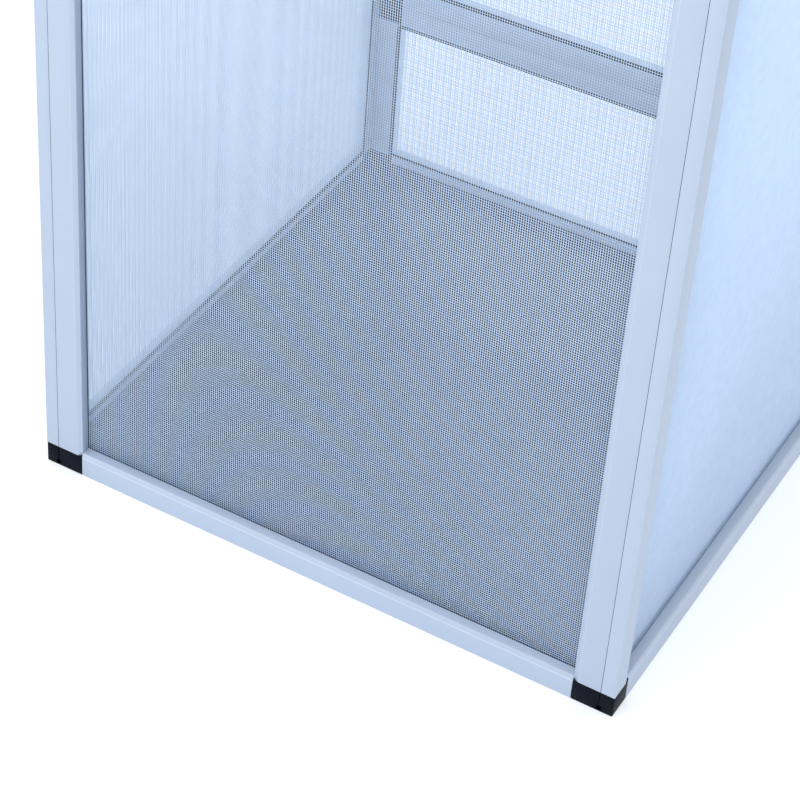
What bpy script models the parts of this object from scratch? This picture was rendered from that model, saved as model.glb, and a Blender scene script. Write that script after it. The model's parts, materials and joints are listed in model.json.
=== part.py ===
"""Reptile vivarium: a tall aluminium screen cage with an upper and a lower front door.

The cage stands on the ground at Z = 0 with its doors towards -Y. Every side is a panel: four hollow
bars of one frame profile, black corner blocks whose tongues go into the bars, and a screen held in the
bars' grooves by its rim cord. All sizes are metres.
"""
import math

import bmesh
import bpy
from mathutils import Matrix, Vector

# Cage
CAGE_WIDTH = 0.450
CAGE_DEPTH = 0.450
CAGE_HEIGHT = 0.900

# Gaps between pieces that touch, and round the doors
SEAT_GAP = 0.0003
DOOR_GAP = 0.0008
DOOR_GROUND_GAP = 0.0010

# Frame profile: across from the panel's outer edge, and in from its outer face
PROFILE_WIDTH = 0.0200
PROFILE_THICKNESS = 0.0100
PROFILE_WALL = 0.0012
FACE_WIDTH = 0.0173
FACE_SHOULDER = 0.0012
SHOULDER_DROP = 0.0004
BEVEL_DEPTH = 0.0013
LIP_WIDTH = 0.0008
LIP_SET_BACK = 0.0020
GROOVE_WIDTH = 0.0024
GROOVE_DEPTH = 0.0030

# Corner blocks
BLOCK_WIDTH = 0.0198
BLOCK_TONGUE = 0.0180
BLOCK_EDGE_CUT = 0.0006

# Screens and floor
SCREEN_THICKNESS = 0.0005
SCREEN_OPENING_PITCH = 0.0650
SCREEN_STRAND = 0.0050
FLOOR_THICKNESS = 0.0025
FLOOR_EDGE_GAP = 0.0006

# Doors
LOWER_DOOR_HEIGHT = 0.1601

# Hinges
HINGE_HEIGHT = 0.0400
HINGE_BARREL_RADIUS = 0.0024
HINGE_PIN_RADIUS = 0.0010
HINGE_PLATE_THICKNESS = 0.0010
HINGE_FRAME_PLATE = 0.0092
HINGE_DOOR_PLATE = 0.0150
UPPER_HINGE_INSET = 0.1100
ROUND_SIDES = 20

# Turn latches
LATCH_THICKNESS = 0.0030
LATCH_HEAD_RADIUS = 0.0045
LATCH_TIP_RADIUS = 0.0035
LATCH_LENGTH = 0.0200
LATCH_ARC_STEPS = 8
LATCH_STUD_RADIUS = 0.0014
LATCH_STUD_REACH = 0.0015
SCREW_HEAD_RADIUS = 0.0026
SCREW_HEAD_HEIGHT = 0.0009

# Faces that meet at less than this are one flat face
FLAT_ANGLE = math.radians(0.05)

# The hinges stand proud of the front, so the cage sits that much further back about the origin
HINGE_PROJECTION = SEAT_GAP + 2 * HINGE_BARREL_RADIUS
SIDE_X = CAGE_WIDTH / 2
FRONT_Y = (HINGE_PROJECTION - CAGE_DEPTH) / 2
REAR_Y = FRONT_Y + CAGE_DEPTH

# The groove lies behind the lip, and the corner blocks stop short of it
GROOVE_START = PROFILE_WIDTH - LIP_WIDTH - GROOVE_WIDTH
LIP_TOP = PROFILE_THICKNESS - LIP_SET_BACK
BLOCK_HEIGHT = GROOVE_START
RIM_CORD_WIDTH = GROOVE_WIDTH - 2 * SEAT_GAP

# What lies between the side panels, and between the doors and the back panel
INNER_WIDTH = CAGE_WIDTH - 2 * PROFILE_THICKNESS
BACK_WIDTH = INNER_WIDTH - 2 * SEAT_GAP
INNER_FRONT = FRONT_Y + PROFILE_THICKNESS + DOOR_GAP
INNER_REAR = REAR_Y - PROFILE_THICKNESS - SEAT_GAP
INNER_DEPTH = INNER_REAR - INNER_FRONT

# Doors by their low edge, and the hinge axis in front of the seam beside them
DOOR_WIDTH = INNER_WIDTH - 2 * DOOR_GAP
UPPER_DOOR_BOTTOM = DOOR_GROUND_GAP + LOWER_DOOR_HEIGHT + DOOR_GAP
UPPER_DOOR_HEIGHT = CAGE_HEIGHT - SEAT_GAP - UPPER_DOOR_BOTTOM
HINGE_X = SIDE_X - PROFILE_THICKNESS - DOOR_GAP / 2
HINGE_Y = FRONT_Y - SEAT_GAP - HINGE_BARREL_RADIUS
LATCH_X = -SIDE_X + PROFILE_THICKNESS / 2
LOWER_DOOR_MIDDLE = DOOR_GROUND_GAP + LOWER_DOOR_HEIGHT / 2
UPPER_DOOR_MIDDLE = UPPER_DOOR_BOTTOM + UPPER_DOOR_HEIGHT / 2


def clear_scene():
    """Remove whatever the file holds."""
    for old in list(bpy.data.objects):
        bpy.data.objects.remove(old, do_unlink=True)
    for old in list(bpy.data.materials):
        bpy.data.materials.remove(old)


def make_material(name, colour, roughness, metallic, alpha=1.0):
    """A Principled BSDF material with one colour."""
    material = bpy.data.materials.new(name)
    material.use_nodes = True
    shader = material.node_tree.nodes["Principled BSDF"]
    shader.inputs["Base Color"].default_value = (*colour, 1.0)
    shader.inputs["Roughness"].default_value = roughness
    shader.inputs["Metallic"].default_value = metallic
    shader.inputs["Alpha"].default_value = alpha
    material.diffuse_color = (*colour, alpha)
    return material


def make_materials():
    """One material for each kind of piece."""
    return {
        "frame": make_material("frame_metal", (0.60, 0.66, 0.78), 0.42, 0.55),
        "block": make_material("black_plastic", (0.012, 0.013, 0.018), 0.55, 0.0),
        "screen": make_material("screen_mesh", (0.66, 0.74, 0.86), 0.60, 0.30, 0.45),
        "floor": make_material("floor_board", (0.060, 0.066, 0.078), 0.50, 0.0),
        "hinge": make_material("hinge_metal", (0.55, 0.57, 0.60), 0.35, 0.90),
        "latch": make_material("latch_plastic", (0.015, 0.016, 0.020), 0.50, 0.0),
    }


def add_object(name, mesh, material, placement, parent=None):
    """Place a mesh as a named object, under a pivot empty if it moves."""
    mesh.name = name
    mesh.materials.clear()
    mesh.materials.append(material)
    solid = bpy.data.objects.new(name, mesh)
    bpy.context.collection.objects.link(solid)
    solid.matrix_basis = placement
    if parent is not None:
        solid.parent = parent
        solid.matrix_basis = parent.matrix_basis.inverted() @ placement
    return solid


def add_pivot(name, location):
    """An empty on a joint's axis, which carries the pieces that turn there."""
    pivot = bpy.data.objects.new(name, None)
    pivot.empty_display_size = PROFILE_WIDTH
    pivot.matrix_basis = Matrix.Translation(location)
    bpy.context.collection.objects.link(pivot)
    return pivot


def finish_mesh(bm, name):
    """Turn a bmesh into a mesh with its faces pointing out."""
    bmesh.ops.recalc_face_normals(bm, faces=bm.faces)
    mesh = bpy.data.meshes.new(name)
    bm.to_mesh(mesh)
    bm.free()
    return mesh


def add_box(bm, low, high):
    """A box between two corners, added to a bmesh."""
    low = Vector(low)
    high = Vector(high)
    size = high - low
    place = Matrix.Translation((low + high) / 2) @ Matrix.Diagonal((*size, 1.0))
    bmesh.ops.create_cube(bm, size=1.0, matrix=place)


def box_mesh(low, high):
    """A box between two corners."""
    bm = bmesh.new()
    add_box(bm, low, high)
    return finish_mesh(bm, "box")


def cylinder_mesh(centre, radius, height, turn=Matrix.Identity(4)):
    """A round bar by the middle of its length, upright unless turned."""
    bm = bmesh.new()
    bmesh.ops.create_cone(bm, cap_ends=True, segments=ROUND_SIDES, radius1=radius, radius2=radius,
                          depth=height, matrix=Matrix.Translation(centre) @ turn)
    return finish_mesh(bm, "cylinder")


def combined_mesh(base, added=(), cut=()):
    """Join meshes to a base, then cut others out of it, with exact booleans."""
    base_object = bpy.data.objects.new("boolean_base", base)
    helpers = [base_object]
    for operation, meshes in (("UNION", added), ("DIFFERENCE", cut)):
        for mesh in meshes:
            helper = bpy.data.objects.new("boolean_operand", mesh)
            modifier = base_object.modifiers.new(operation.lower(), "BOOLEAN")
            modifier.operation = operation
            modifier.solver = "EXACT"
            modifier.object = helper
            helpers.append(helper)
    for helper in helpers:
        bpy.context.collection.objects.link(helper)
    depsgraph = bpy.context.evaluated_depsgraph_get()
    bm = bmesh.new()
    bm.from_object(base_object, depsgraph)
    for helper in helpers:
        bpy.data.objects.remove(helper, do_unlink=True)
    bmesh.ops.dissolve_limit(bm, angle_limit=FLAT_ANGLE, verts=bm.verts, edges=bm.edges)
    return finish_mesh(bm, "combined")


def profile_outline():
    """The frame profile as (across, in) points: the outer face, the bevel, the lip, the groove, the back."""
    groove_end = PROFILE_WIDTH - LIP_WIDTH
    groove_floor = LIP_TOP - GROOVE_DEPTH
    return [(0.0, 0.0), (FACE_WIDTH - FACE_SHOULDER, 0.0), (FACE_WIDTH, SHOULDER_DROP),
            (PROFILE_WIDTH, BEVEL_DEPTH), (PROFILE_WIDTH, LIP_TOP), (groove_end, LIP_TOP),
            (groove_end, groove_floor), (GROOVE_START, groove_floor),
            (GROOVE_START, PROFILE_THICKNESS), (0.0, PROFILE_THICKNESS)]


def hollow_limits(clearance=0.0):
    """The bar's hollow as (across, in) limits, drawn in by a clearance for what slides into it."""
    low = PROFILE_WALL + clearance
    across_high = GROOVE_START - PROFILE_WALL - clearance
    in_high = PROFILE_THICKNESS - PROFILE_WALL - clearance
    return (low, across_high), (low, in_high)


def add_tube_ends(bm, length):
    """Close the end faces between a tube's outline and its hollow."""
    open_edges = [edge for edge in bm.edges if edge.is_boundary]
    for at_start in (True, False):
        rim = [edge for edge in open_edges if (edge.verts[0].co.z < length / 2) == at_start]
        bmesh.ops.triangle_fill(bm, edges=rim, use_beauty=True)


def bar_mesh(length, mitred):
    """A hollow bar: x across from the outer edge, y in from the outer face, z along its length."""
    (x_low, x_high), (y_low, y_high) = hollow_limits()
    hollow = [(x_low, y_low), (x_low, y_high), (x_high, y_high), (x_high, y_low)]
    mitre_gap = SEAT_GAP / math.sqrt(2) if mitred else 0.0
    bm = bmesh.new()
    for loop in (profile_outline(), hollow):
        insets = [x if mitred else 0.0 for x, _ in loop]
        start = [bm.verts.new((x, y, inset + mitre_gap)) for (x, y), inset in zip(loop, insets)]
        end = [bm.verts.new((x, y, length - inset - mitre_gap)) for (x, y), inset in zip(loop, insets)]
        for i, first in enumerate(start):
            j = (i + 1) % len(loop)
            bm.faces.new((first, start[j], end[j], end[i]))
    add_tube_ends(bm, length)
    return finish_mesh(bm, "bar")


def blocked_bar_mesh(length, block_across, block_along):
    """A mitred bar with a corner block's room cut from each end, which leaves only its lip mitred."""
    across = block_across + SEAT_GAP
    along = block_along + SEAT_GAP
    spare = PROFILE_WALL
    cutters = []
    for end in (0.0, length):
        low_z = end - spare if end == 0.0 else end - along
        high_z = end + along if end == 0.0 else end + spare
        cutters.append(box_mesh((-spare, -spare, low_z), (across, PROFILE_THICKNESS + spare, high_z)))
    return combined_mesh(bar_mesh(length, mitred=True), cut=cutters)


def block_boxes(stile_way, rail_way):
    """A corner block's body and its two tongues as boxes about the panel's corner.

    stile_way is +1 where the stile goes up from the block, and rail_way is +1 where the rail goes to +x.
    """
    (across_low, across_high), (in_low, in_high) = hollow_limits(SEAT_GAP)
    root = PROFILE_WALL
    body = ((0.0, 0.0, 0.0), (BLOCK_WIDTH, PROFILE_THICKNESS, BLOCK_HEIGHT))
    into_stile = ((across_low, in_low, BLOCK_HEIGHT - root), (across_high, in_high, BLOCK_HEIGHT + BLOCK_TONGUE))
    into_rail = ((BLOCK_WIDTH - root, in_low, across_low), (BLOCK_WIDTH + BLOCK_TONGUE, in_high, across_high))
    boxes = []
    for low, high in (body, into_stile, into_rail):
        xs = sorted((low[0] * rail_way, high[0] * rail_way))
        zs = sorted((low[2] * stile_way, high[2] * stile_way))
        boxes.append(box_mesh((xs[0], low[1], zs[0]), (xs[1], high[1], zs[1])))
    return boxes


def block_mesh(stile_way, rail_way):
    """A corner block with a chamfer down its outer upright edge."""
    boxes = block_boxes(stile_way, rail_way)
    bm = bmesh.new()
    bm.from_mesh(combined_mesh(boxes[0], added=boxes[1:]))
    near = PROFILE_WALL / 100
    upright = [edge for edge in bm.edges if all(max(abs(v.co.x), abs(v.co.y)) < near for v in edge.verts)]
    bmesh.ops.bevel(bm, geom=upright, offset=BLOCK_EDGE_CUT, segments=1, affect="EDGES")
    return finish_mesh(bm, "block")


def screen_lines(size):
    """Where a screen's rim cord, its edge strip, its openings and its strands begin, along one side."""
    edge = GROOVE_START + SEAT_GAP
    window = size - 2 * PROFILE_WIDTH
    count = max(1, round(window / SCREEN_OPENING_PITCH))
    pitch = (window + SCREEN_STRAND) / count
    lines = [edge, edge + RIM_CORD_WIDTH]
    for i in range(count):
        start = PROFILE_WIDTH + i * pitch
        lines += [start, start + pitch - SCREEN_STRAND]
    return lines + [size - edge - RIM_CORD_WIDTH, size - edge]


def screen_levels(i, j, lasts):
    """How far out a screen's cell (i, j) reaches: None in an opening, and furthest in the rim cord."""
    if not (0 <= i <= lasts[0] and 0 <= j <= lasts[1]):
        return None
    if i in (0, lasts[0]) or j in (0, lasts[1]):
        return LIP_TOP + SEAT_GAP - GROOVE_DEPTH
    is_opening = i % 2 == 0 and j % 2 == 0
    return None if is_opening else LIP_TOP + SEAT_GAP


def screen_mesh(width, height):
    """A screen for a panel of this size: a plain grid of openings, and the rim cord for the bars' grooves."""
    lines = (screen_lines(width), screen_lines(height))
    lasts = (len(lines[0]) - 2, len(lines[1]) - 2)
    back = LIP_TOP + SEAT_GAP + SCREEN_THICKNESS
    bm = bmesh.new()
    corners = {}

    def corner(i, depth, j):
        if (i, depth, j) not in corners:
            corners[(i, depth, j)] = bm.verts.new((lines[0][i], depth, lines[1][j]))
        return corners[(i, depth, j)]

    for i in range(lasts[0] + 1):
        for j in range(lasts[1] + 1):
            level = screen_levels(i, j, lasts)
            if level is None:
                continue
            for depth in (level, back):
                bm.faces.new([corner(i, depth, j), corner(i + 1, depth, j),
                              corner(i + 1, depth, j + 1), corner(i, depth, j + 1)])
            for step, ends in (((1, 0), ((i + 1, j), (i + 1, j + 1))), ((-1, 0), ((i, j), (i, j + 1))),
                               ((0, 1), ((i, j + 1), (i + 1, j + 1))), ((0, -1), ((i, j), (i + 1, j)))):
                beside = screen_levels(i + step[0], j + step[1], lasts)
                reach = back if beside is None else beside
                if reach > level:
                    first, second = ends
                    bm.faces.new([corner(first[0], level, first[1]), corner(second[0], level, second[1]),
                                  corner(second[0], reach, second[1]), corner(first[0], reach, first[1])])
    bmesh.ops.dissolve_limit(bm, angle_limit=FLAT_ANGLE, verts=bm.verts, edges=bm.edges)
    return finish_mesh(bm, "screen")


def in_panel(placement, a, b, degrees=0):
    """A place in a panel: at (a, b) from its low corner, turned about the panel's depth."""
    turn = Matrix.Rotation(math.radians(degrees), 4, "Y")
    return placement @ Matrix.Translation((a, 0.0, b)) @ turn


def add_panel(name, placement, width, height, ends, materials, parent=None, bare_corners=()):
    """A screened panel: four bars, its corner blocks and its screen.

    ends names the stiles at the panel's low and high side. bare_corners lists the (side, level) corners
    that a connector fills instead of a block.
    """
    stile = blocked_bar_mesh(height, BLOCK_WIDTH, BLOCK_HEIGHT)
    rail = blocked_bar_mesh(width, BLOCK_HEIGHT, BLOCK_WIDTH)
    metal = materials["frame"]
    add_object(f"{name}_{ends[0]}_stile", stile, metal, in_panel(placement, 0.0, 0.0), parent)
    add_object(f"{name}_{ends[1]}_stile", stile.copy(), metal, in_panel(placement, width, height, 180), parent)
    add_object(f"{name}_bottom_rail", rail, metal, in_panel(placement, width, 0.0, -90), parent)
    add_object(f"{name}_top_rail", rail.copy(), metal, in_panel(placement, 0.0, height, 90), parent)
    for side, rail_way, a in ((ends[0], 1, 0.0), (ends[1], -1, width)):
        for level, stile_way, b in (("bottom", 1, 0.0), ("top", -1, height)):
            if (side, level) not in bare_corners:
                add_object(f"{name}_{side}_{level}_block", block_mesh(stile_way, rail_way),
                           materials["block"], in_panel(placement, a, b), parent)
    add_object(f"{name}_screen", screen_mesh(width, height), materials["screen"], placement, parent)


def side_placement(side):
    """Where a side panel's low corner is, with its depth running into the cage."""
    if side == "left":
        return Matrix.Translation((-SIDE_X, REAR_Y, 0.0)) @ Matrix.Rotation(math.radians(-90), 4, "Z")
    return Matrix.Translation((SIDE_X, FRONT_Y, 0.0)) @ Matrix.Rotation(math.radians(90), 4, "Z")


def back_placement():
    """Where the back panel's low corner is, between the side panels."""
    return Matrix.Translation((BACK_WIDTH / 2, REAR_Y, 0.0)) @ Matrix.Rotation(math.radians(180), 4, "Z")


def add_fixed_panels(materials):
    """The side panels and the back panel, whose top rear corners take connectors."""
    add_panel("left_side", side_placement("left"), CAGE_DEPTH, CAGE_HEIGHT, ("rear", "front"), materials,
              bare_corners=[("rear", "top")])
    add_panel("right_side", side_placement("right"), CAGE_DEPTH, CAGE_HEIGHT, ("front", "rear"), materials,
              bare_corners=[("rear", "top")])
    add_panel("back", back_placement(), BACK_WIDTH, CAGE_HEIGHT, ("right", "left"), materials,
              bare_corners=[("right", "top"), ("left", "top")])


def add_rear_connectors(materials):
    """At each top rear corner one block joins the side panel's bars to the back panel's bars."""
    for side, way in (("left", -1), ("right", 1)):
        side_start = CAGE_DEPTH if side == "right" else 0.0
        back_start = 0.0 if side == "right" else BACK_WIDTH
        solids = []
        for corner, rail_way in ((in_panel(side_placement(side), side_start, CAGE_HEIGHT), -way),
                                 (in_panel(back_placement(), back_start, CAGE_HEIGHT), way)):
            for mesh in block_boxes(-1, rail_way):
                mesh.transform(corner)
                solids.append(mesh)
        seam = INNER_WIDTH / 2
        xs = sorted(((seam - PROFILE_WALL) * way, (seam + PROFILE_WALL) * way))
        solids.append(box_mesh((xs[0], REAR_Y - PROFILE_THICKNESS, CAGE_HEIGHT - BLOCK_HEIGHT),
                               (xs[1], REAR_Y, CAGE_HEIGHT)))
        add_object(f"{side}_rear_top_connector", combined_mesh(solids[0], added=solids[1:]),
                   materials["block"], Matrix.Identity(4))


def add_top_panel(materials):
    """The top: four mitred bars lying flat between the panels, and its screen."""
    face_up = Matrix.Rotation(math.radians(-90), 4, "X")
    placement = Matrix.Translation((-BACK_WIDTH / 2, INNER_FRONT, CAGE_HEIGHT)) @ face_up
    side_bar = bar_mesh(INNER_DEPTH, mitred=True)
    cross_bar = bar_mesh(BACK_WIDTH, mitred=True)
    metal = materials["frame"]
    add_object("top_left_bar", side_bar, metal, in_panel(placement, 0.0, 0.0))
    add_object("top_right_bar", side_bar.copy(), metal, in_panel(placement, BACK_WIDTH, INNER_DEPTH, 180))
    add_object("top_front_bar", cross_bar, metal, in_panel(placement, BACK_WIDTH, 0.0, -90))
    add_object("top_rear_bar", cross_bar.copy(), metal, in_panel(placement, 0.0, INNER_DEPTH, 90))
    add_object("top_screen", screen_mesh(BACK_WIDTH, INNER_DEPTH), materials["screen"], placement)


def add_floor(materials):
    """Two bars lying flat across the bottom, and the board on them."""
    face_down = Matrix.Rotation(math.radians(90), 4, "X")
    placement = Matrix.Translation((-BACK_WIDTH / 2, INNER_REAR, 0.0)) @ face_down
    bearer = bar_mesh(BACK_WIDTH, mitred=False)
    metal = materials["frame"]
    add_object("floor_rear_bearer", bearer, metal, in_panel(placement, BACK_WIDTH, 0.0, -90))
    add_object("floor_front_bearer", bearer.copy(), metal, in_panel(placement, 0.0, INNER_DEPTH, 90))
    half_width = INNER_WIDTH / 2 - FLOOR_EDGE_GAP
    bottom = PROFILE_THICKNESS + SEAT_GAP
    board = box_mesh((-half_width, INNER_FRONT, bottom), (half_width, INNER_REAR, bottom + FLOOR_THICKNESS))
    add_object("floor_board", board, materials["floor"], Matrix.Identity(4))


def knuckle_spans():
    """The heights of a hinge's three knuckles about its middle, the lowest first."""
    knuckle = (HINGE_HEIGHT - 2 * SEAT_GAP) / 3
    start = -HINGE_HEIGHT / 2
    spans = []
    for _ in range(3):
        spans.append((start, start + knuckle))
        start += knuckle + SEAT_GAP
    return spans


def knuckle_mesh(span):
    """One knuckle of the barrel, about the hinge's axis."""
    return cylinder_mesh((0.0, 0.0, (span[0] + span[1]) / 2), HINGE_BARREL_RADIUS, span[1] - span[0])


def hinge_plate_mesh(way, reach, spans):
    """A leaf's flat plate behind the barrel, notched where the other leaf's knuckles turn."""
    back = HINGE_BARREL_RADIUS
    front = HINGE_BARREL_RADIUS - HINGE_PLATE_THICKNESS
    notch = HINGE_BARREL_RADIUS + SEAT_GAP
    xs = sorted((notch * way, reach * way))
    plate = box_mesh((xs[0], front, -HINGE_HEIGHT / 2), (xs[1], back, HINGE_HEIGHT / 2))
    arms = []
    for low, high in spans:
        arm_xs = sorted((0.0, (notch + SEAT_GAP) * way))
        arms.append(box_mesh((arm_xs[0], front, low), (arm_xs[1], back, high)))
    return combined_mesh(plate, added=arms)


def frame_leaf_mesh():
    """The leaf on the side panel: its plate, the outer knuckles and the pin."""
    lowest, _, highest = knuckle_spans()
    plate = hinge_plate_mesh(1, HINGE_FRAME_PLATE, (lowest, highest))
    pin = cylinder_mesh((0.0, 0.0, 0.0), HINGE_PIN_RADIUS, HINGE_HEIGHT - 2 * PROFILE_WALL)
    return combined_mesh(plate, added=[knuckle_mesh(lowest), knuckle_mesh(highest), pin])


def door_leaf_mesh():
    """The leaf on the door: its plate and the middle knuckle, bored for the pin."""
    _, middle, _ = knuckle_spans()
    plate = hinge_plate_mesh(-1, HINGE_DOOR_PLATE, (middle,))
    bore = cylinder_mesh((0.0, 0.0, 0.0), HINGE_PIN_RADIUS + SEAT_GAP, HINGE_HEIGHT)
    return combined_mesh(plate, added=[knuckle_mesh(middle)], cut=[bore])


def add_hinge(name, height, pivot, materials):
    """A butt hinge in front of the seam between a side panel and a door."""
    place = Matrix.Translation((HINGE_X, HINGE_Y, height))
    add_object(f"{name}_frame_leaf", frame_leaf_mesh(), materials["hinge"], place)
    add_object(f"{name}_door_leaf", door_leaf_mesh(), materials["hinge"], place, pivot)


def add_doors(materials):
    """The lower and the upper door, each on its own hinges at the right."""
    spans = {"lower": (DOOR_GROUND_GAP, LOWER_DOOR_HEIGHT), "upper": (UPPER_DOOR_BOTTOM, UPPER_DOOR_HEIGHT)}
    pivots = {}
    for level, (bottom, height) in spans.items():
        pivots[level] = add_pivot(f"{level}_door_pivot", (HINGE_X, HINGE_Y, bottom))
        low_corner = Matrix.Translation((-DOOR_WIDTH / 2, FRONT_Y, bottom))
        add_panel(f"{level}_door", low_corner, DOOR_WIDTH, height, ("left", "right"), materials, pivots[level])
    add_hinge("lower_hinge", LOWER_DOOR_MIDDLE, pivots["lower"], materials)
    add_hinge("middle_hinge", UPPER_DOOR_BOTTOM + UPPER_HINGE_INSET, pivots["upper"], materials)
    add_hinge("upper_hinge", CAGE_HEIGHT - UPPER_HINGE_INSET, pivots["upper"], materials)


def latch_outline():
    """A turn latch hanging down from its pivot: a round head that narrows to a round tip."""
    outline = []
    for centre, radius, first in ((0.0, LATCH_HEAD_RADIUS, 0), (-LATCH_LENGTH, LATCH_TIP_RADIUS, 180)):
        for step in range(LATCH_ARC_STEPS + 1):
            angle = math.radians(first + 180 * step / LATCH_ARC_STEPS)
            outline.append((radius * math.cos(angle), centre + radius * math.sin(angle)))
    return outline


def latch_mesh():
    """A turn latch about its pivot: the flat arm, the screw's head in front and its shank behind."""
    bm = bmesh.new()
    face = bm.faces.new([bm.verts.new((x, 0.0, z)) for x, z in latch_outline()])
    pushed = bmesh.ops.extrude_face_region(bm, geom=[face], use_keep_orig=True)["geom"]
    arm_front = [item for item in pushed if isinstance(item, bmesh.types.BMVert)]
    bmesh.ops.translate(bm, vec=(0.0, -LATCH_THICKNESS, 0.0), verts=arm_front)
    arm = finish_mesh(bm, "latch")
    along_y = Matrix.Rotation(math.radians(90), 4, "X")
    root = SEAT_GAP
    head_length = SCREW_HEAD_HEIGHT + root
    head = cylinder_mesh((0.0, root - LATCH_THICKNESS - head_length / 2, 0.0), SCREW_HEAD_RADIUS,
                         head_length, along_y)
    shank_length = root + SEAT_GAP + PROFILE_WALL + LATCH_STUD_REACH
    shank = cylinder_mesh((0.0, shank_length / 2 - root, 0.0), LATCH_STUD_RADIUS, shank_length, along_y)
    return combined_mesh(arm, added=[head, shank])


def add_latches(materials):
    """A turn latch beside each door on the left side panel's edge, which is bored for its screw."""
    stile = bpy.data.objects["left_side_front_stile"]
    to_stile = stile.matrix_basis.inverted()
    along_y = Matrix.Rotation(math.radians(90), 4, "X") @ Matrix.Rotation(math.pi / ROUND_SIDES, 4, "Z")
    bores = []
    for name, height in (("lower_latch", LOWER_DOOR_MIDDLE), ("upper_latch", UPPER_DOOR_MIDDLE)):
        pivot = add_pivot(f"{name}_pivot", (LATCH_X, FRONT_Y, height))
        add_object(name, latch_mesh(), materials["latch"],
                   Matrix.Translation((LATCH_X, FRONT_Y - SEAT_GAP, height)), pivot)
        bore = cylinder_mesh((LATCH_X, FRONT_Y, height), LATCH_STUD_RADIUS + SEAT_GAP, 3 * PROFILE_WALL, along_y)
        bore.transform(to_stile)
        bores.append(bore)
    stile.data = combined_mesh(stile.data.copy(), cut=bores)
    stile.data.materials.append(materials["frame"])


def build():
    """Make every piece of the vivarium."""
    clear_scene()
    materials = make_materials()
    add_fixed_panels(materials)
    add_rear_connectors(materials)
    add_top_panel(materials)
    add_floor(materials)
    add_doors(materials)
    add_latches(materials)


build()
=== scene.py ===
import json
import math

import bpy
from mathutils import Matrix, Vector


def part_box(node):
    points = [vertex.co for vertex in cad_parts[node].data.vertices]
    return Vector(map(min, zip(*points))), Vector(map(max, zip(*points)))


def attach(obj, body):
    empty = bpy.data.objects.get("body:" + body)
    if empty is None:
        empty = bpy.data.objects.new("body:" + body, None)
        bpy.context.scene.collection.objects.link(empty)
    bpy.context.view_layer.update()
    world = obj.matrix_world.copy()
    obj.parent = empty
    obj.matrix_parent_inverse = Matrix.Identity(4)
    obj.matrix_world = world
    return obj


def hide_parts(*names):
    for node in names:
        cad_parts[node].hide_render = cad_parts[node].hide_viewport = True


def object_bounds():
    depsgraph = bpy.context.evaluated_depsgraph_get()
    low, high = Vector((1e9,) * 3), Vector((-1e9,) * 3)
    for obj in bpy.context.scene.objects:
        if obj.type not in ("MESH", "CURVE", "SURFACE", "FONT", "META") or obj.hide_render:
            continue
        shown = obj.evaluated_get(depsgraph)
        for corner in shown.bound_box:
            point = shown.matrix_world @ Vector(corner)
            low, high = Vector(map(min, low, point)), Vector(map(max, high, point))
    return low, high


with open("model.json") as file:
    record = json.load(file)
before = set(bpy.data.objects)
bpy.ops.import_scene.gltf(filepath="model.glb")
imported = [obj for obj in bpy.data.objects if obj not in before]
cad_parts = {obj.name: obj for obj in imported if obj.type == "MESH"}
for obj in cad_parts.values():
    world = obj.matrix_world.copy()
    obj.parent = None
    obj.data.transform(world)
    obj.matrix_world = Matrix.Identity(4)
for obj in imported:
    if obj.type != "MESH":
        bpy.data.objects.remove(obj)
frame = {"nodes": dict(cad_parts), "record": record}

cad_box = [list(corner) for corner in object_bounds()]


# The camera stands where the photograph was taken, above and behind one rear corner. The photograph is cut
# from a larger picture, so the lens is shifted, and only the lower half of the cage is in view.
CAMERA_PLACE = Vector((-0.6357, 1.3856, 1.3009))
CAMERA_HEADING = math.radians(211.555)
CAMERA_DOWN = math.radians(39.828)
CAMERA_ROLL = math.radians(1.519)
CAMERA_REACH = 20
PHOTO_PIXELS = 800
FOCUS_PIXELS = 2697.8
LENS_CENTRE_PIXELS = (227.9, 354.4)

bpy.ops.object.select_all(action="DESELECT")
bpy.ops.object.camera_add()
camera = bpy.context.object
camera.name = "camera"
heading = Matrix.Rotation(CAMERA_HEADING, 4, "Z")
dip = Matrix.Rotation(math.pi / 2 - CAMERA_DOWN, 4, "X")
roll = Matrix.Rotation(CAMERA_ROLL, 4, "Z")
camera.matrix_world = Matrix.Translation(CAMERA_PLACE) @ heading @ dip @ roll
camera.data.lens = camera.data.sensor_width * FOCUS_PIXELS / PHOTO_PIXELS
camera.data.shift_x = 0.5 - LENS_CENTRE_PIXELS[0] / PHOTO_PIXELS
camera.data.shift_y = LENS_CENTRE_PIXELS[1] / PHOTO_PIXELS - 0.5
camera.data.clip_end = CAMERA_REACH
bpy.context.scene.camera = camera


# The frame bars are one thin-walled aluminium extrusion, cut to length and powder coated pale silver blue.
# The coat rounds every edge. So each bar is its solid with the edges rolled over, and the gently tilted
# strips of those edges, along the shoulder of each face, take a lighter colour: a painted highlight.
FRAME_COLOUR = (0.500, 0.580, 0.712)
FRAME_SHADES = (0.97, 1.03)
FRAME_ROUGHNESS = (0.36, 0.50)
FRAME_METALNESS = 0.25
FRAME_CLOUDS_PER_METRE = 22
FRAME_PEEL_PER_METRE = 1400
FRAME_RELIEF = 0.05
FRAME_EDGE_RADIUS = 0.0003
DIE_LINE_PITCH = 0.0006
DIE_LINE_SQUEEZE = 0.02
# The shoulder strips' lighter colour is a painted highlight.
SHOULDER_HIGHLIGHT_COLOUR = (0.84, 0.92, 1.0)
SHOULDER_TILT = (math.radians(2), math.radians(16))
RELIEF_DEPTH = 0.0002
MERGE_DISTANCE = 0.000001
FLAT_ANGLE = math.radians(0.5)
SHARP_ANGLE = math.radians(15)
SMOOTH_ANGLE = math.radians(40)


def bare_finish(name):
    """A new finish: the material, its node tree, its surface, and the place on the piece for its patterns."""
    finish = bpy.data.materials.new(name)
    finish.use_nodes = True
    tree = finish.node_tree
    place = tree.nodes.new("ShaderNodeTexCoord").outputs["Object"]
    return finish, tree, tree.nodes["Principled BSDF"], place


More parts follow.
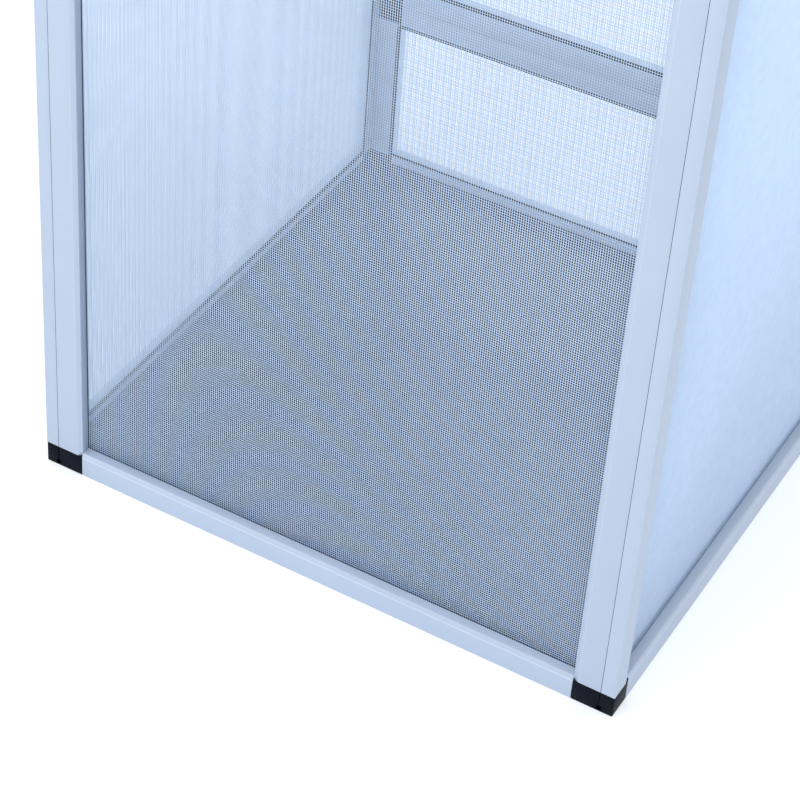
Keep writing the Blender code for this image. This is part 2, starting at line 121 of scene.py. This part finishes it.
def speckle(tree, place, per_metre, detail):
    """A cloudy pattern with a number of spots to the metre."""
    spots = tree.nodes.new("ShaderNodeTexNoise")
    spots.inputs["Scale"].default_value = per_metre
    spots.inputs["Detail"].default_value = detail
    tree.links.new(place, spots.inputs["Vector"])
    return spots.outputs["Fac"]


def drawn_out(tree, place, way, squeeze):
    """The place on the piece, squeezed along one axis, so that spots on it are drawn out into lines."""
    mapping = tree.nodes.new("ShaderNodeMapping")
    mapping.inputs["Scale"].default_value[way] = squeeze
    tree.links.new(place, mapping.inputs["Vector"])
    return mapping.outputs["Vector"]


def mottled_colour(tree, pattern, colour, shades):
    """Let a colour wander with a pattern, between two shades that are shares of it."""
    tone = tree.nodes.new("ShaderNodeMix")
    tone.data_type = "RGBA"
    for end, shade in zip("AB", shades):
        tone.inputs[end].default_value = (*[min(1, part * shade) for part in colour], 1)
    tree.links.new(pattern, tone.inputs["Factor"])
    tree.links.new(tone.outputs["Result"], tree.nodes["Principled BSDF"].inputs["Base Color"])


def uneven_gloss(tree, pattern, lowest, highest):
    """Let the roughness wander with a pattern."""
    rough = tree.nodes.new("ShaderNodeMapRange")
    rough.inputs["To Min"].default_value = lowest
    rough.inputs["To Max"].default_value = highest
    tree.links.new(pattern, rough.inputs["Value"])
    tree.links.new(rough.outputs["Result"], tree.nodes["Principled BSDF"].inputs["Roughness"])


def fine_relief(tree, pattern, strength):
    """Let the surface rise and fall a little with a pattern."""
    bump = tree.nodes.new("ShaderNodeBump")
    bump.inputs["Strength"].default_value = strength
    bump.inputs["Distance"].default_value = RELIEF_DEPTH
    tree.links.new(pattern, bump.inputs["Height"])
    tree.links.new(bump.outputs["Normal"], tree.nodes["Principled BSDF"].inputs["Normal"])


def powder_coated_extrusion(name, colour, way):
    """Pale coated metal with faint die lines along the bar and the coat's fine orange peel."""
    metal, tree, surface, place = bare_finish(name)
    surface.inputs["Metallic"].default_value = FRAME_METALNESS
    clouds = speckle(tree, place, FRAME_CLOUDS_PER_METRE, detail=2)
    mottled_colour(tree, clouds, colour, FRAME_SHADES)
    along_bar = drawn_out(tree, place, way, DIE_LINE_SQUEEZE)
    die_lines = speckle(tree, along_bar, 1 / DIE_LINE_PITCH, detail=3)
    uneven_gloss(tree, die_lines, *FRAME_ROUGHNESS)
    peel = speckle(tree, place, FRAME_PEEL_PER_METRE, detail=1)
    relief = tree.nodes.new("ShaderNodeMath")
    relief.operation = "ADD"
    tree.links.new(die_lines, relief.inputs[0])
    tree.links.new(peel, relief.inputs[1])
    fine_relief(tree, relief.outputs["Value"], FRAME_RELIEF)
    return metal


def nodes_ending(*endings):
    """The names of the nodes with one of these endings, in order."""
    return sorted(name for name in frame["nodes"] if name.endswith(endings))


def corners_of(node_name):
    """The lowest and the highest corner of a node's box."""
    return [Vector(corner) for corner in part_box(node_name)]


def body_of(node_name):
    """The name of the body that a node belongs to."""
    for body, members in frame["record"]["behaviour"]["bodies"].items():
        if node_name in members:
            return body


def roll_edges(piece, radius, segments, angle):
    """Roll over each edge of the active piece that turns by more than an angle."""
    roll = piece.modifiers.new("rolled_edges", "BEVEL")
    roll.width = radius
    roll.segments = segments
    roll.limit_method = "ANGLE"
    roll.angle_limit = angle
    bpy.ops.object.modifier_apply(modifier=roll.name)


def rounded_copy(node_name, radius):
    """The node's solid as one clean mesh, its sharp edges rolled over."""
    bpy.ops.object.select_all(action="DESELECT")
    piece = bpy.data.objects.new(node_name + "_shell", frame["nodes"][node_name].data.copy())
    bpy.context.collection.objects.link(piece)
    piece.select_set(True)
    bpy.context.view_layer.objects.active = piece
    bpy.ops.object.mode_set(mode="EDIT")
    bpy.ops.mesh.select_all(action="SELECT")
    bpy.ops.mesh.remove_doubles(threshold=MERGE_DISTANCE)
    bpy.ops.mesh.dissolve_limited(angle_limit=FLAT_ANGLE)
    bpy.ops.object.mode_set(mode="OBJECT")
    roll_edges(piece, radius, segments=2, angle=SHARP_ANGLE)
    bpy.ops.object.shade_smooth_by_angle(angle=SMOOTH_ANGLE)
    piece.data.materials.clear()
    return piece


frame_metal = {}
painted_highlight_metal = {}
for way, letter in enumerate("xyz"):
    frame_metal[way] = powder_coated_extrusion(f"coated_extrusion_{letter}", FRAME_COLOUR, way)
    painted_highlight_metal[way] = powder_coated_extrusion(f"painted_highlight_shoulder_{letter}", SHOULDER_HIGHLIGHT_COLOUR, way)
for name in nodes_ending("_stile", "_rail", "_bar", "_bearer"):
    bar = rounded_copy(name, FRAME_EDGE_RADIUS)
    low, high = corners_of(name)
    size = list(high - low)
    way = size.index(max(size))
    bar.data.materials.append(frame_metal[way])
    bar.data.materials.append(painted_highlight_metal[way])
    # The gently tilted shoulder faces take the lighter colour, a painted highlight along each face's edge.
    for face in bar.data.polygons:
        tilt = math.acos(min(1, max(abs(part) for part in face.normal)))
        face.material_index = 1 if SHOULDER_TILT[0] < tilt < SHOULDER_TILT[1] else 0
    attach(bar, body_of(name))
    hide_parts(name)


# The corner blocks are moulded black plastic, pressed into the bars' ends. Their faces have a fine spark
# grain and their edges a small moulded radius. A low fin stands against the stile's bevel, and a slot for the
# joining clip is cut across the two blocks at each rear corner.
BLOCK_COLOUR = (0.0018, 0.0026, 0.0075)
BLOCK_EDGE_RADIUS = 0.0003
BLOCK_SPAN = 0.0198
BLOCK_RISE = 0.0168
PANEL_THICKNESS = 0.0100
FIN_WIDTH = 0.0026
FIN_HEIGHT = 0.0022
FIN_DEPTH = 0.0012
SLOT_WIDTH = 0.0036
SLOT_DEPTH = 0.0030
SLOT_HEIGHT = 0.0042
SLOT_FOOT = 0.0005
GRAINS_PER_SCUFF = 18
SCUFF_SHADES = (1, 1.6)
SCUFF_ROUGHNESS = 0.08
GRAIN_RELIEF = 0.12
UP = Vector((0, 0, 1))
cage_low, cage_high = [Vector(corner) for corner in cad_box]


def grained_plastic(name, colour, roughness, per_metre, sheen):
    """Moulded plastic or rubber with a number of fine grains to the metre, and broader scuffs."""
    plastic, tree, surface, place = bare_finish(name)
    surface.inputs["Specular IOR Level"].default_value = sheen
    grain = speckle(tree, place, per_metre, detail=2)
    scuffs = speckle(tree, place, per_metre / GRAINS_PER_SCUFF, detail=4)
    mottled_colour(tree, scuffs, colour, SCUFF_SHADES)
    uneven_gloss(tree, scuffs, roughness - SCUFF_ROUGHNESS, roughness + SCUFF_ROUGHNESS)
    fine_relief(tree, grain, GRAIN_RELIEF)
    return plastic


def block_fin(base, outward, along):
    """A small wedge: its foot runs from base along the rail, and its point rises at the inner end."""
    bpy.ops.object.select_all(action="DESELECT")
    bpy.ops.mesh.primitive_cube_add(size=1)
    fin = bpy.context.object
    width = along * FIN_WIDTH
    rise = UP * FIN_HEIGHT
    depth = outward * FIN_DEPTH
    fin.scale = [abs(part) for part in width + rise + depth]
    fin.location = base + (width + rise + depth) / 2
    bpy.ops.object.transform_apply(location=True, rotation=True, scale=True)
    bpy.ops.object.mode_set(mode="EDIT")
    bpy.ops.mesh.select_mode(type="VERT")
    bpy.ops.mesh.select_all(action="DESELECT")
    bpy.ops.object.mode_set(mode="OBJECT")
    for vertex in fin.data.vertices:
        at_outer_end = (vertex.co - base - width / 2).dot(along) < 0
        vertex.select = at_outer_end and (vertex.co - base - rise / 2).dot(UP) > 0
    bpy.ops.object.mode_set(mode="EDIT")
    bpy.ops.transform.translate(value=-rise)
    bpy.ops.mesh.select_all(action="SELECT")
    bpy.ops.mesh.remove_doubles(threshold=MERGE_DISTANCE)
    bpy.ops.mesh.normals_make_consistent(inside=False)
    bpy.ops.object.mode_set(mode="OBJECT")
    return fin


def join_onto(piece, others):
    """Join other pieces onto a piece, which is then ready for its finish."""
    bpy.ops.object.select_all(action="DESELECT")
    for part in (piece, *others):
        part.select_set(True)
    bpy.context.view_layer.objects.active = piece
    bpy.ops.object.join()
    piece.data.materials.clear()


def cut_pocket(piece, centre, size):
    """Cut a square-sided pocket out of a piece, of a size about a centre."""
    bpy.ops.object.select_all(action="DESELECT")
    bpy.ops.mesh.primitive_cube_add(size=1, location=centre)
    pocket = bpy.context.object
    pocket.scale = size
    bpy.ops.object.transform_apply(location=True, rotation=True, scale=True)
    bpy.ops.object.select_all(action="DESELECT")
    piece.select_set(True)
    bpy.context.view_layer.objects.active = piece
    cut = piece.modifiers.new("pocket", "BOOLEAN")
    cut.operation = "DIFFERENCE"
    cut.solver = "EXACT"
    cut.object = pocket
    bpy.ops.object.modifier_apply(modifier=cut.name)
    bpy.data.objects.remove(pocket)


def cut_clip_slot(piece, side):
    """Cut the joining clip's slot across the seam of a rear corner. side is -1 for left and 1 for right."""
    seam = side * (cage_high.x - PANEL_THICKNESS)
    middle = cage_low.z + SLOT_FOOT + SLOT_HEIGHT / 2
    cut_pocket(piece, (seam, cage_high.y, middle), (SLOT_WIDTH, 2 * SLOT_DEPTH, SLOT_HEIGHT))


block_plastic = grained_plastic("block_plastic", BLOCK_COLOUR, roughness=0.55, per_metre=1800, sheen=0.08)
for name in nodes_ending("_block", "_connector"):
    block = rounded_copy(name, BLOCK_EDGE_RADIUS)
    low, high = corners_of(name)
    if name.endswith("_bottom_block") and "door" not in name:
        side = 1 if low.x + high.x > 0 else -1
        if "_side_" in name:
            outward = Vector((side, 0, 0))
            along = Vector((0, -1 if low.y + high.y > 0 else 1, 0))
        else:
            outward = Vector((0, 1, 0))
            along = Vector((-side, 0, 0))
        # The fin stands on the block, flush with its outer face, at the end away from the cage's corner.
        corner = Vector([high[i] if outward[i] > 0 or along[i] < 0 else low[i] for i in range(3)])
        corner.z = low.z + BLOCK_RISE
        base = corner + along * (BLOCK_SPAN - FIN_WIDTH) - outward * FIN_DEPTH
        join_onto(block, [block_fin(base, outward, along)])
        if "rear" in name or name.startswith("back_"):
            cut_clip_slot(block, side)
    block.data.materials.append(block_plastic)
    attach(block, body_of(name))
    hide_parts(name)


# A thin near-black strip of painted shade stands where the back panel is screwed up against each side panel.
# Only its edge shows, swelled out a little between the two stiles, as the dark line of shade down each rear
# corner. It runs on between the corner blocks, and is cut away where their clip slot is.
# The strip's near-black colour is painted shade: it darkens the seam as a deep shadow gap would.
SEAM_SHADE_COLOUR = (0.004, 0.004, 0.006)
SEAM_SHADE_MOTTLE = (1, 2)
SEAM_SHADE_ROUGHNESS = 0.95
SEAM_SHADE_SHEEN = 0.05
SEAM_SHADE_CELLS_PER_METRE = 2500
SEAM_SHADE_SET_BACK = 0.00002
SEAM_SHADE_BEAD_DEPTH = 0.00012
SEAM_SHADE_BEAD_SWELL = 1.7
SEAM_SHADE_EDGE_RADIUS = 0.00002
SEAM_SHADE_SHARP_ANGLE = math.radians(30)


def seam_shade_strip():
    """Dull near-black painted shade for the corner seam, a little mottled."""
    shade_finish, tree, surface, place = bare_finish("seam_shade_strip")
    surface.inputs["Roughness"].default_value = SEAM_SHADE_ROUGHNESS
    surface.inputs["Specular IOR Level"].default_value = SEAM_SHADE_SHEEN
    cells = speckle(tree, place, SEAM_SHADE_CELLS_PER_METRE, detail=2)
    mottled_colour(tree, cells, SEAM_SHADE_COLOUR, SEAM_SHADE_MOTTLE)
    return shade_finish


seam_shade_finish = seam_shade_strip()
for side, side_name in ((-1, "left"), (1, "right")):
    low, high = corners_of(f"back_{side_name}_stile")
    side_low, side_high = corners_of(f"{side_name}_side_rear_stile")
    block_foot = corners_of(f"{side_name}_side_rear_bottom_block")[0].z
    gap = (side_high.x, low.x) if side < 0 else (high.x, side_low.x)
    foot = block_foot + SEAM_SHADE_SET_BACK
    rear = high.y - SEAM_SHADE_SET_BACK
    middle = Vector(((gap[0] + gap[1]) / 2, (low.y + high.y) / 2, (foot + side_high.z) / 2))
    bpy.ops.object.select_all(action="DESELECT")
    bpy.ops.mesh.primitive_cube_add(size=1, location=middle)
    shade_strip = bpy.context.object
    shade_strip.name = f"{side_name}_corner_seam_shade"
    shade_strip.scale = (gap[1] - gap[0], high.y - low.y - 2 * SEAM_SHADE_SET_BACK, side_high.z - foot)
    bpy.ops.object.transform_apply(location=True, rotation=True, scale=True)
    bpy.ops.object.mode_set(mode="EDIT")
    bpy.ops.mesh.select_all(action="SELECT")
    bpy.ops.mesh.bisect(plane_co=(0, rear - SEAM_SHADE_BEAD_DEPTH, 0), plane_no=(0, 1, 0))
    bpy.ops.mesh.select_all(action="DESELECT")
    bpy.ops.object.mode_set(mode="OBJECT")
    for vertex in shade_strip.data.vertices:
        vertex.select = vertex.co.y > rear - SEAM_SHADE_BEAD_DEPTH / 2
    bpy.ops.object.mode_set(mode="EDIT")
    bpy.ops.transform.resize(value=(SEAM_SHADE_BEAD_SWELL, 1, 1), center_override=(middle.x, rear, 0))
    bpy.ops.object.mode_set(mode="OBJECT")
    roll_edges(shade_strip, SEAM_SHADE_EDGE_RADIUS, segments=1, angle=SEAM_SHADE_SHARP_ANGLE)
    cut_clip_slot(shade_strip, side)
    shade_strip.data.materials.append(seam_shade_finish)
    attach(shade_strip, "cage")


# The screens are woven aluminium wire, coated like the frame. The wires lie across the lip of the bars and
# end under the rim cord, the upright wires outside and the level wires inside.
WIRE_COLOUR = (0.67, 0.79, 0.95)
WIRE_SHADES = (0.92, 1.06)
WIRE_ROUGHNESS = 0.28
WIRE_METALNESS = 1
WIRE_PATCHES_PER_METRE = 140
WIRE_RADIUS = 0.00020
WIRE_SIDES = 6
WIRE_SMOOTH_ANGLE = math.radians(85)
UPRIGHT_CRIMP = 1.5
UPRIGHT_RADII_IN = 3
UPRIGHT_PITCH = 0.001567
LEVEL_CRIMP = 1
LEVEL_RADII_IN = 1
LEVEL_PITCH = 0.001848
RIM_INSET = 0.0012


def coated_wire():
    """Pale coated wire, a little uneven in tone from wire to wire."""
    wire, tree, surface, place = bare_finish("coated_wire")
    surface.inputs["Metallic"].default_value = WIRE_METALNESS
    surface.inputs["Roughness"].default_value = WIRE_ROUGHNESS
    patches = speckle(tree, place, WIRE_PATCHES_PER_METRE, detail=3)
    mottled_colour(tree, patches, WIRE_COLOUR, WIRE_SHADES)
    return wire


def sheet_place(node_name):
    """A screen's corners, the axis it is thin along, the sign of its outer side, and its inner face."""
    low, high = corners_of(node_name)
    size = list(high - low)
    thin = size.index(min(size))
    outside = 1 if low[thin] + high[thin] > cage_low[thin] + cage_high[thin] else -1
    inner_face = low[thin] if outside > 0 else high[thin]
    return low, high, thin, outside, inner_face


def row_of_wires(start, along, across, pitch, count, crimp):
    """One wire from start, repeated at its pitch. Its section is deeper than wide, as the crimp makes it."""
    bpy.ops.object.select_all(action="DESELECT")
    bpy.ops.mesh.primitive_cylinder_add(vertices=WIRE_SIDES, radius=WIRE_RADIUS, depth=along.length,
                                        rotation=along.to_track_quat("Z", "Y").to_euler())
    wires = bpy.context.object
    bpy.ops.object.transform_apply(location=False, rotation=True, scale=False)
    depth = along.cross(across).normalized()
    wires.scale = [1 + (crimp - 1) * abs(part) for part in depth]
    wires.location = start + along / 2
    bpy.ops.object.transform_apply(location=True, rotation=False, scale=True)
    bpy.ops.object.shade_smooth_by_angle(angle=WIRE_SMOOTH_ANGLE)
    row = wires.modifiers.new("row", "ARRAY")
    row.use_relative_offset = False
    row.use_constant_offset = True
    row.constant_offset_displace = across * pitch
    row.count = count
    bpy.ops.object.modifier_apply(modifier=row.name)
    return wires


wire_metal = coated_wire()
for name in nodes_ending("_screen"):
    low, high, thin, outside, inner_face = sheet_place(name)
    size = high - low
    across_axis, up_axis = [axis for axis in range(3) if axis != thin]
    layers = []
    for axis, other, pitch, radii_in, crimp in (
            (up_axis, across_axis, UPRIGHT_PITCH, UPRIGHT_RADII_IN, UPRIGHT_CRIMP),
            (across_axis, up_axis, LEVEL_PITCH, LEVEL_RADII_IN, LEVEL_CRIMP)):
        span = size[other] - 2 * RIM_INSET
        count = int(span / pitch)
        start = low.copy()
        start[thin] = inner_face + outside * WIRE_RADIUS * radii_in
        start[axis] = low[axis] + RIM_INSET
        start[other] = low[other] + RIM_INSET + (span - (count - 1) * pitch) / 2
        along = Vector((0, 0, 0))
        along[axis] = size[axis] - 2 * RIM_INSET
        across = Vector((0, 0, 0))
        across[other] = 1
        layers.append(row_of_wires(start, along, across, pitch, count, crimp))
    wires = layers[0]
    join_onto(wires, layers[1:])
    wires.name = name + "_wires"
    wires.data.materials.append(wire_metal)
    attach(wires, body_of(name))
    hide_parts(name)


# The rim cord is black rubber with a flat head. It is pressed into the groove over the wires' ends and fills
# the step inside the bars' edge, in one length round the panel with small round corners.
CORD_COLOUR = (0.013, 0.014, 0.018)
CORD_HEAD_WIDTH = 0.0030
CORD_HEAD_THICKNESS = 0.0016
CORD_PROUD = 0.0010
CORD_LAP = 0.0002
CORD_CORNER = 0.0046
CORD_CORNER_SEGMENTS = 5
CORD_EDGE_RADIUS = 0.0004
CORD_SHARP_ANGLE = math.radians(60)

cord_rubber = grained_plastic("cord_rubber", CORD_COLOUR, roughness=0.65, per_metre=900, sheen=0.15)
for name in nodes_ending("_screen"):
    low, high, thin, outside, inner_face = sheet_place(name)
    centre = (low + high) / 2
    centre[thin] = inner_face - outside * CORD_PROUD
    facing = Vector((0, 0, 0))
    facing[thin] = 1
    spread = [side + 2 * CORD_LAP for side in high - low]
    spread[thin] = 1
    bpy.ops.object.select_all(action="DESELECT")
    bpy.ops.mesh.primitive_plane_add(size=1, rotation=facing.to_track_quat("Z", "Y").to_euler())
    cord = bpy.context.object
    cord.name = name + "_cord"
    bpy.ops.object.transform_apply(location=False, rotation=True, scale=False)
    cord.scale = spread
    cord.location = centre
    bpy.ops.object.transform_apply(location=True, rotation=False, scale=True)
    bpy.ops.object.mode_set(mode="EDIT")
    bpy.ops.mesh.select_all(action="SELECT")
    bpy.ops.mesh.bevel(offset=CORD_CORNER, segments=CORD_CORNER_SEGMENTS, affect="VERTICES")
    bpy.ops.mesh.select_all(action="SELECT")
    bpy.ops.mesh.inset(thickness=CORD_HEAD_WIDTH)
    bpy.ops.mesh.delete(type="FACE")
    bpy.ops.mesh.select_all(action="SELECT")
    thicken = facing * outside * CORD_HEAD_THICKNESS
    bpy.ops.mesh.extrude_region_move(TRANSFORM_OT_translate={"value": thicken})
    bpy.ops.mesh.select_all(action="SELECT")
    bpy.ops.mesh.normals_make_consistent(inside=False)
    bpy.ops.object.mode_set(mode="OBJECT")
    roll_edges(cord, CORD_EDGE_RADIUS, segments=2, angle=CORD_SHARP_ANGLE)
    bpy.ops.object.shade_smooth_by_angle(angle=SMOOTH_ANGLE)
    cord.data.materials.append(cord_rubber)
    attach(cord, body_of(name))
    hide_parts(name)


# The floor is one dark moulded plastic board with a smooth, slightly glossy face. It is laid on two bars of
# the frame's profile, a little above the ground.
FLOOR_COLOUR = (0.004, 0.006, 0.012)
FLOOR_EDGE_RADIUS = 0.0004

floor_plastic = grained_plastic("floor_plastic", FLOOR_COLOUR, roughness=0.25, per_metre=600, sheen=0.3)
floor_board = rounded_copy("floor_board", FLOOR_EDGE_RADIUS)
floor_board.data.materials.append(floor_plastic)
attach(floor_board, "cage")
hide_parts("floor_board")


# The hinges are pressed aluminium butt hinges with a satin face. Each leaf is fixed to its stile by three
# dome-headed rivets in a row.
HINGE_COLOUR = (0.47, 0.50, 0.55)
HINGE_EDGE_RADIUS = 0.0002
HINGE_PLATE_THICKNESS = 0.0010
HINGE_KNUCKLE_REACH = 0.0024
RIVET_RADIUS = 0.0019
RIVET_HEIGHT = 0.0009
RIVET_SPREAD = 0.0130
RIVET_SIDES = 16
RIVET_RINGS = 8
SATIN_SHADES = (0.85, 1)
SATIN_ROUGHNESS = (0.25, 0.42)
SATIN_METALNESS = 0.9
SATIN_MARKS_PER_METRE = 2500
SATIN_MARK_SQUEEZE = 0.04
UPRIGHT_AXIS = 2


def satin_metal(name, colour):
    """Satin metal with fine upright rolling marks."""
    metal, tree, surface, place = bare_finish(name)
    surface.inputs["Metallic"].default_value = SATIN_METALNESS
    upright = drawn_out(tree, place, UPRIGHT_AXIS, SATIN_MARK_SQUEEZE)
    marks = speckle(tree, upright, SATIN_MARKS_PER_METRE, detail=3)
    mottled_colour(tree, marks, colour, SATIN_SHADES)
    uneven_gloss(tree, marks, *SATIN_ROUGHNESS)
    return metal


def dome_rivet(place):
    """A low dome head standing on a surface that faces the front, at a place on that surface."""
    bpy.ops.object.select_all(action="DESELECT")
    bpy.ops.mesh.primitive_uv_sphere_add(segments=RIVET_SIDES, ring_count=RIVET_RINGS, radius=RIVET_RADIUS,
                                         rotation=(math.radians(90), 0, 0), location=place)
    rivet = bpy.context.object
    rivet.scale = (1, 1, RIVET_HEIGHT / RIVET_RADIUS)
    bpy.ops.object.transform_apply(location=True, rotation=True, scale=True)
    bpy.ops.object.shade_smooth()
    return rivet


hinge_metal = satin_metal("hinge_aluminium", HINGE_COLOUR)
for name in nodes_ending("_leaf"):
    leaf = rounded_copy(name, HINGE_EDGE_RADIUS)
    low, high = corners_of(name)
    away_from_pin = 1 if "_frame_" in name else -1
    plate_middle = (low.x + high.x + away_from_pin * HINGE_KNUCKLE_REACH) / 2
    rivets = []
    for step in (-1, 0, 1):
        height = (low.z + high.z) / 2 + step * RIVET_SPREAD
        rivets.append(dome_rivet((plate_middle, high.y - HINGE_PLATE_THICKNESS, height)))
    join_onto(leaf, rivets)
    leaf.data.materials.append(hinge_metal)
    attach(leaf, body_of(name))
    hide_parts(name)


# The turn latches are moulded black plastic arms, each held by one steel screw with a low round head and a
# cross recess. The screw's head and the arm are one solid, so the head takes its own finish by its place.
LATCH_COLOUR = (0.012, 0.013, 0.018)
LATCH_EDGE_RADIUS = 0.0003
SCREW_COLOUR = (0.50, 0.51, 0.53)
SCREW_HEAD_HEIGHT = 0.0009
SCREW_FINISH_SHARE = 0.98
SCREW_BELOW_TOP = 0.0045
RECESS_LENGTH = 0.0028
RECESS_WIDTH = 0.0006
RECESS_DEPTH = 0.0005

latch_plastic = grained_plastic("latch_plastic", LATCH_COLOUR, roughness=0.42, per_metre=1500, sheen=0.3)
screw_steel = satin_metal("screw_steel", SCREW_COLOUR)
for name in ("lower_latch", "upper_latch"):
    latch = rounded_copy(name, LATCH_EDGE_RADIUS)
    low, high = corners_of(name)
    screw_face = Vector(((low.x + high.x) / 2, low.y, high.z - SCREW_BELOW_TOP))
    cut_pocket(latch, screw_face, (RECESS_LENGTH, 2 * RECESS_DEPTH, RECESS_WIDTH))
    cut_pocket(latch, screw_face, (RECESS_WIDTH, 2 * RECESS_DEPTH, RECESS_LENGTH))
    latch.data.materials.append(latch_plastic)
    latch.data.materials.append(screw_steel)
    finish_end = low.y + SCREW_HEAD_HEIGHT * SCREW_FINISH_SHARE
    for face in latch.data.polygons:
        face.material_index = 1 if face.center.y < finish_end else 0
    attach(latch, name)
    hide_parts(name)


# A pale studio: a white ground that keeps a faint shadow, a white surround and three large soft lamps. The
# surround lights the cage at a plain level, and is full white only where it is looked at, straight or through
# something clear, or mirrored. The ground is lifted toward white where it is looked at or mirrored.
GROUND_COLOUR = (0.80, 0.86, 0.93)
GROUND_ROUGHNESS = 0.9
GROUND_SIZE = 12
GROUND_DROP = 0.0005
GROUND_GLOW = {"Is Camera Ray": 0.36, "Is Glossy Ray": 0.45}
SURROUND_LIGHT = 0.76
SURROUND_WHITE = 1
LAMP_AIM = Vector((0, 0, 0.3))
LAMPS = {
    "rear_softbox": {"place": (1.5, 1.7, 0.8), "size": 1.2, "power": 6},
    "top_softbox": {"place": (-0.2, 1.8, 2.6), "size": 1.6, "power": 26},
    "front_softbox": {"place": (0.4, -2.2, 0.9), "size": 1.4, "power": 7},
}

bpy.context.scene.view_settings.view_transform = "Standard"
ground_paint = bpy.data.materials.new("ground_paint")
ground_paint.use_nodes = True
tree = ground_paint.node_tree
paint = tree.nodes["Principled BSDF"]
paint.inputs["Base Color"].default_value = (*GROUND_COLOUR, 1)
paint.inputs["Roughness"].default_value = GROUND_ROUGHNESS
rays = tree.nodes.new("ShaderNodeLightPath")
level = tree.nodes.new("ShaderNodeMath")
level.operation = "MAXIMUM"
for level_input, (ray, strength) in zip(level.inputs, GROUND_GLOW.items()):
    switch = tree.nodes.new("ShaderNodeMath")
    switch.operation = "MULTIPLY"
    switch.inputs[1].default_value = strength
    tree.links.new(rays.outputs[ray], switch.inputs[0])
    tree.links.new(switch.outputs["Value"], level_input)
glow = tree.nodes.new("ShaderNodeEmission")
tree.links.new(level.outputs["Value"], glow.inputs["Strength"])
both = tree.nodes.new("ShaderNodeAddShader")
tree.links.new(paint.outputs["BSDF"], both.inputs[0])
tree.links.new(glow.outputs["Emission"], both.inputs[1])
tree.links.new(both.outputs["Shader"], tree.nodes["Material Output"].inputs["Surface"])
bpy.ops.object.select_all(action="DESELECT")
bpy.ops.mesh.primitive_plane_add(size=GROUND_SIZE, location=(0, 0, -GROUND_DROP))
ground = bpy.context.object
ground.name = "ground"
ground.data.materials.append(ground_paint)

surround = bpy.data.worlds.new("surround")
bpy.context.scene.world = surround
surround.use_nodes = True
tree = surround.node_tree
rays = tree.nodes.new("ShaderNodeLightPath")
shown = rays.outputs["Is Camera Ray"]
for ray in ("Is Transmission Ray", "Is Glossy Ray"):
    either = tree.nodes.new("ShaderNodeMath")
    either.operation = "MAXIMUM"
    tree.links.new(shown, either.inputs[0])
    tree.links.new(rays.outputs[ray], either.inputs[1])
    shown = either.outputs["Value"]
level = tree.nodes.new("ShaderNodeMapRange")
level.inputs["To Min"].default_value = SURROUND_LIGHT
level.inputs["To Max"].default_value = SURROUND_WHITE
tree.links.new(shown, level.inputs["Value"])
sky = tree.nodes["Background"]
sky.inputs["Color"].default_value = (1, 1, 1, 1)
tree.links.new(level.outputs["Result"], sky.inputs["Strength"])

for name, lamp_row in LAMPS.items():
    place = Vector(lamp_row["place"])
    bpy.ops.object.light_add(type="AREA", location=place)
    lamp = bpy.context.object
    lamp.name = name
    lamp.data.size = lamp_row["size"]
    lamp.data.energy = lamp_row["power"]
    lamp.rotation_euler = (LAMP_AIM - place).to_track_quat("-Z", "Y").to_euler()
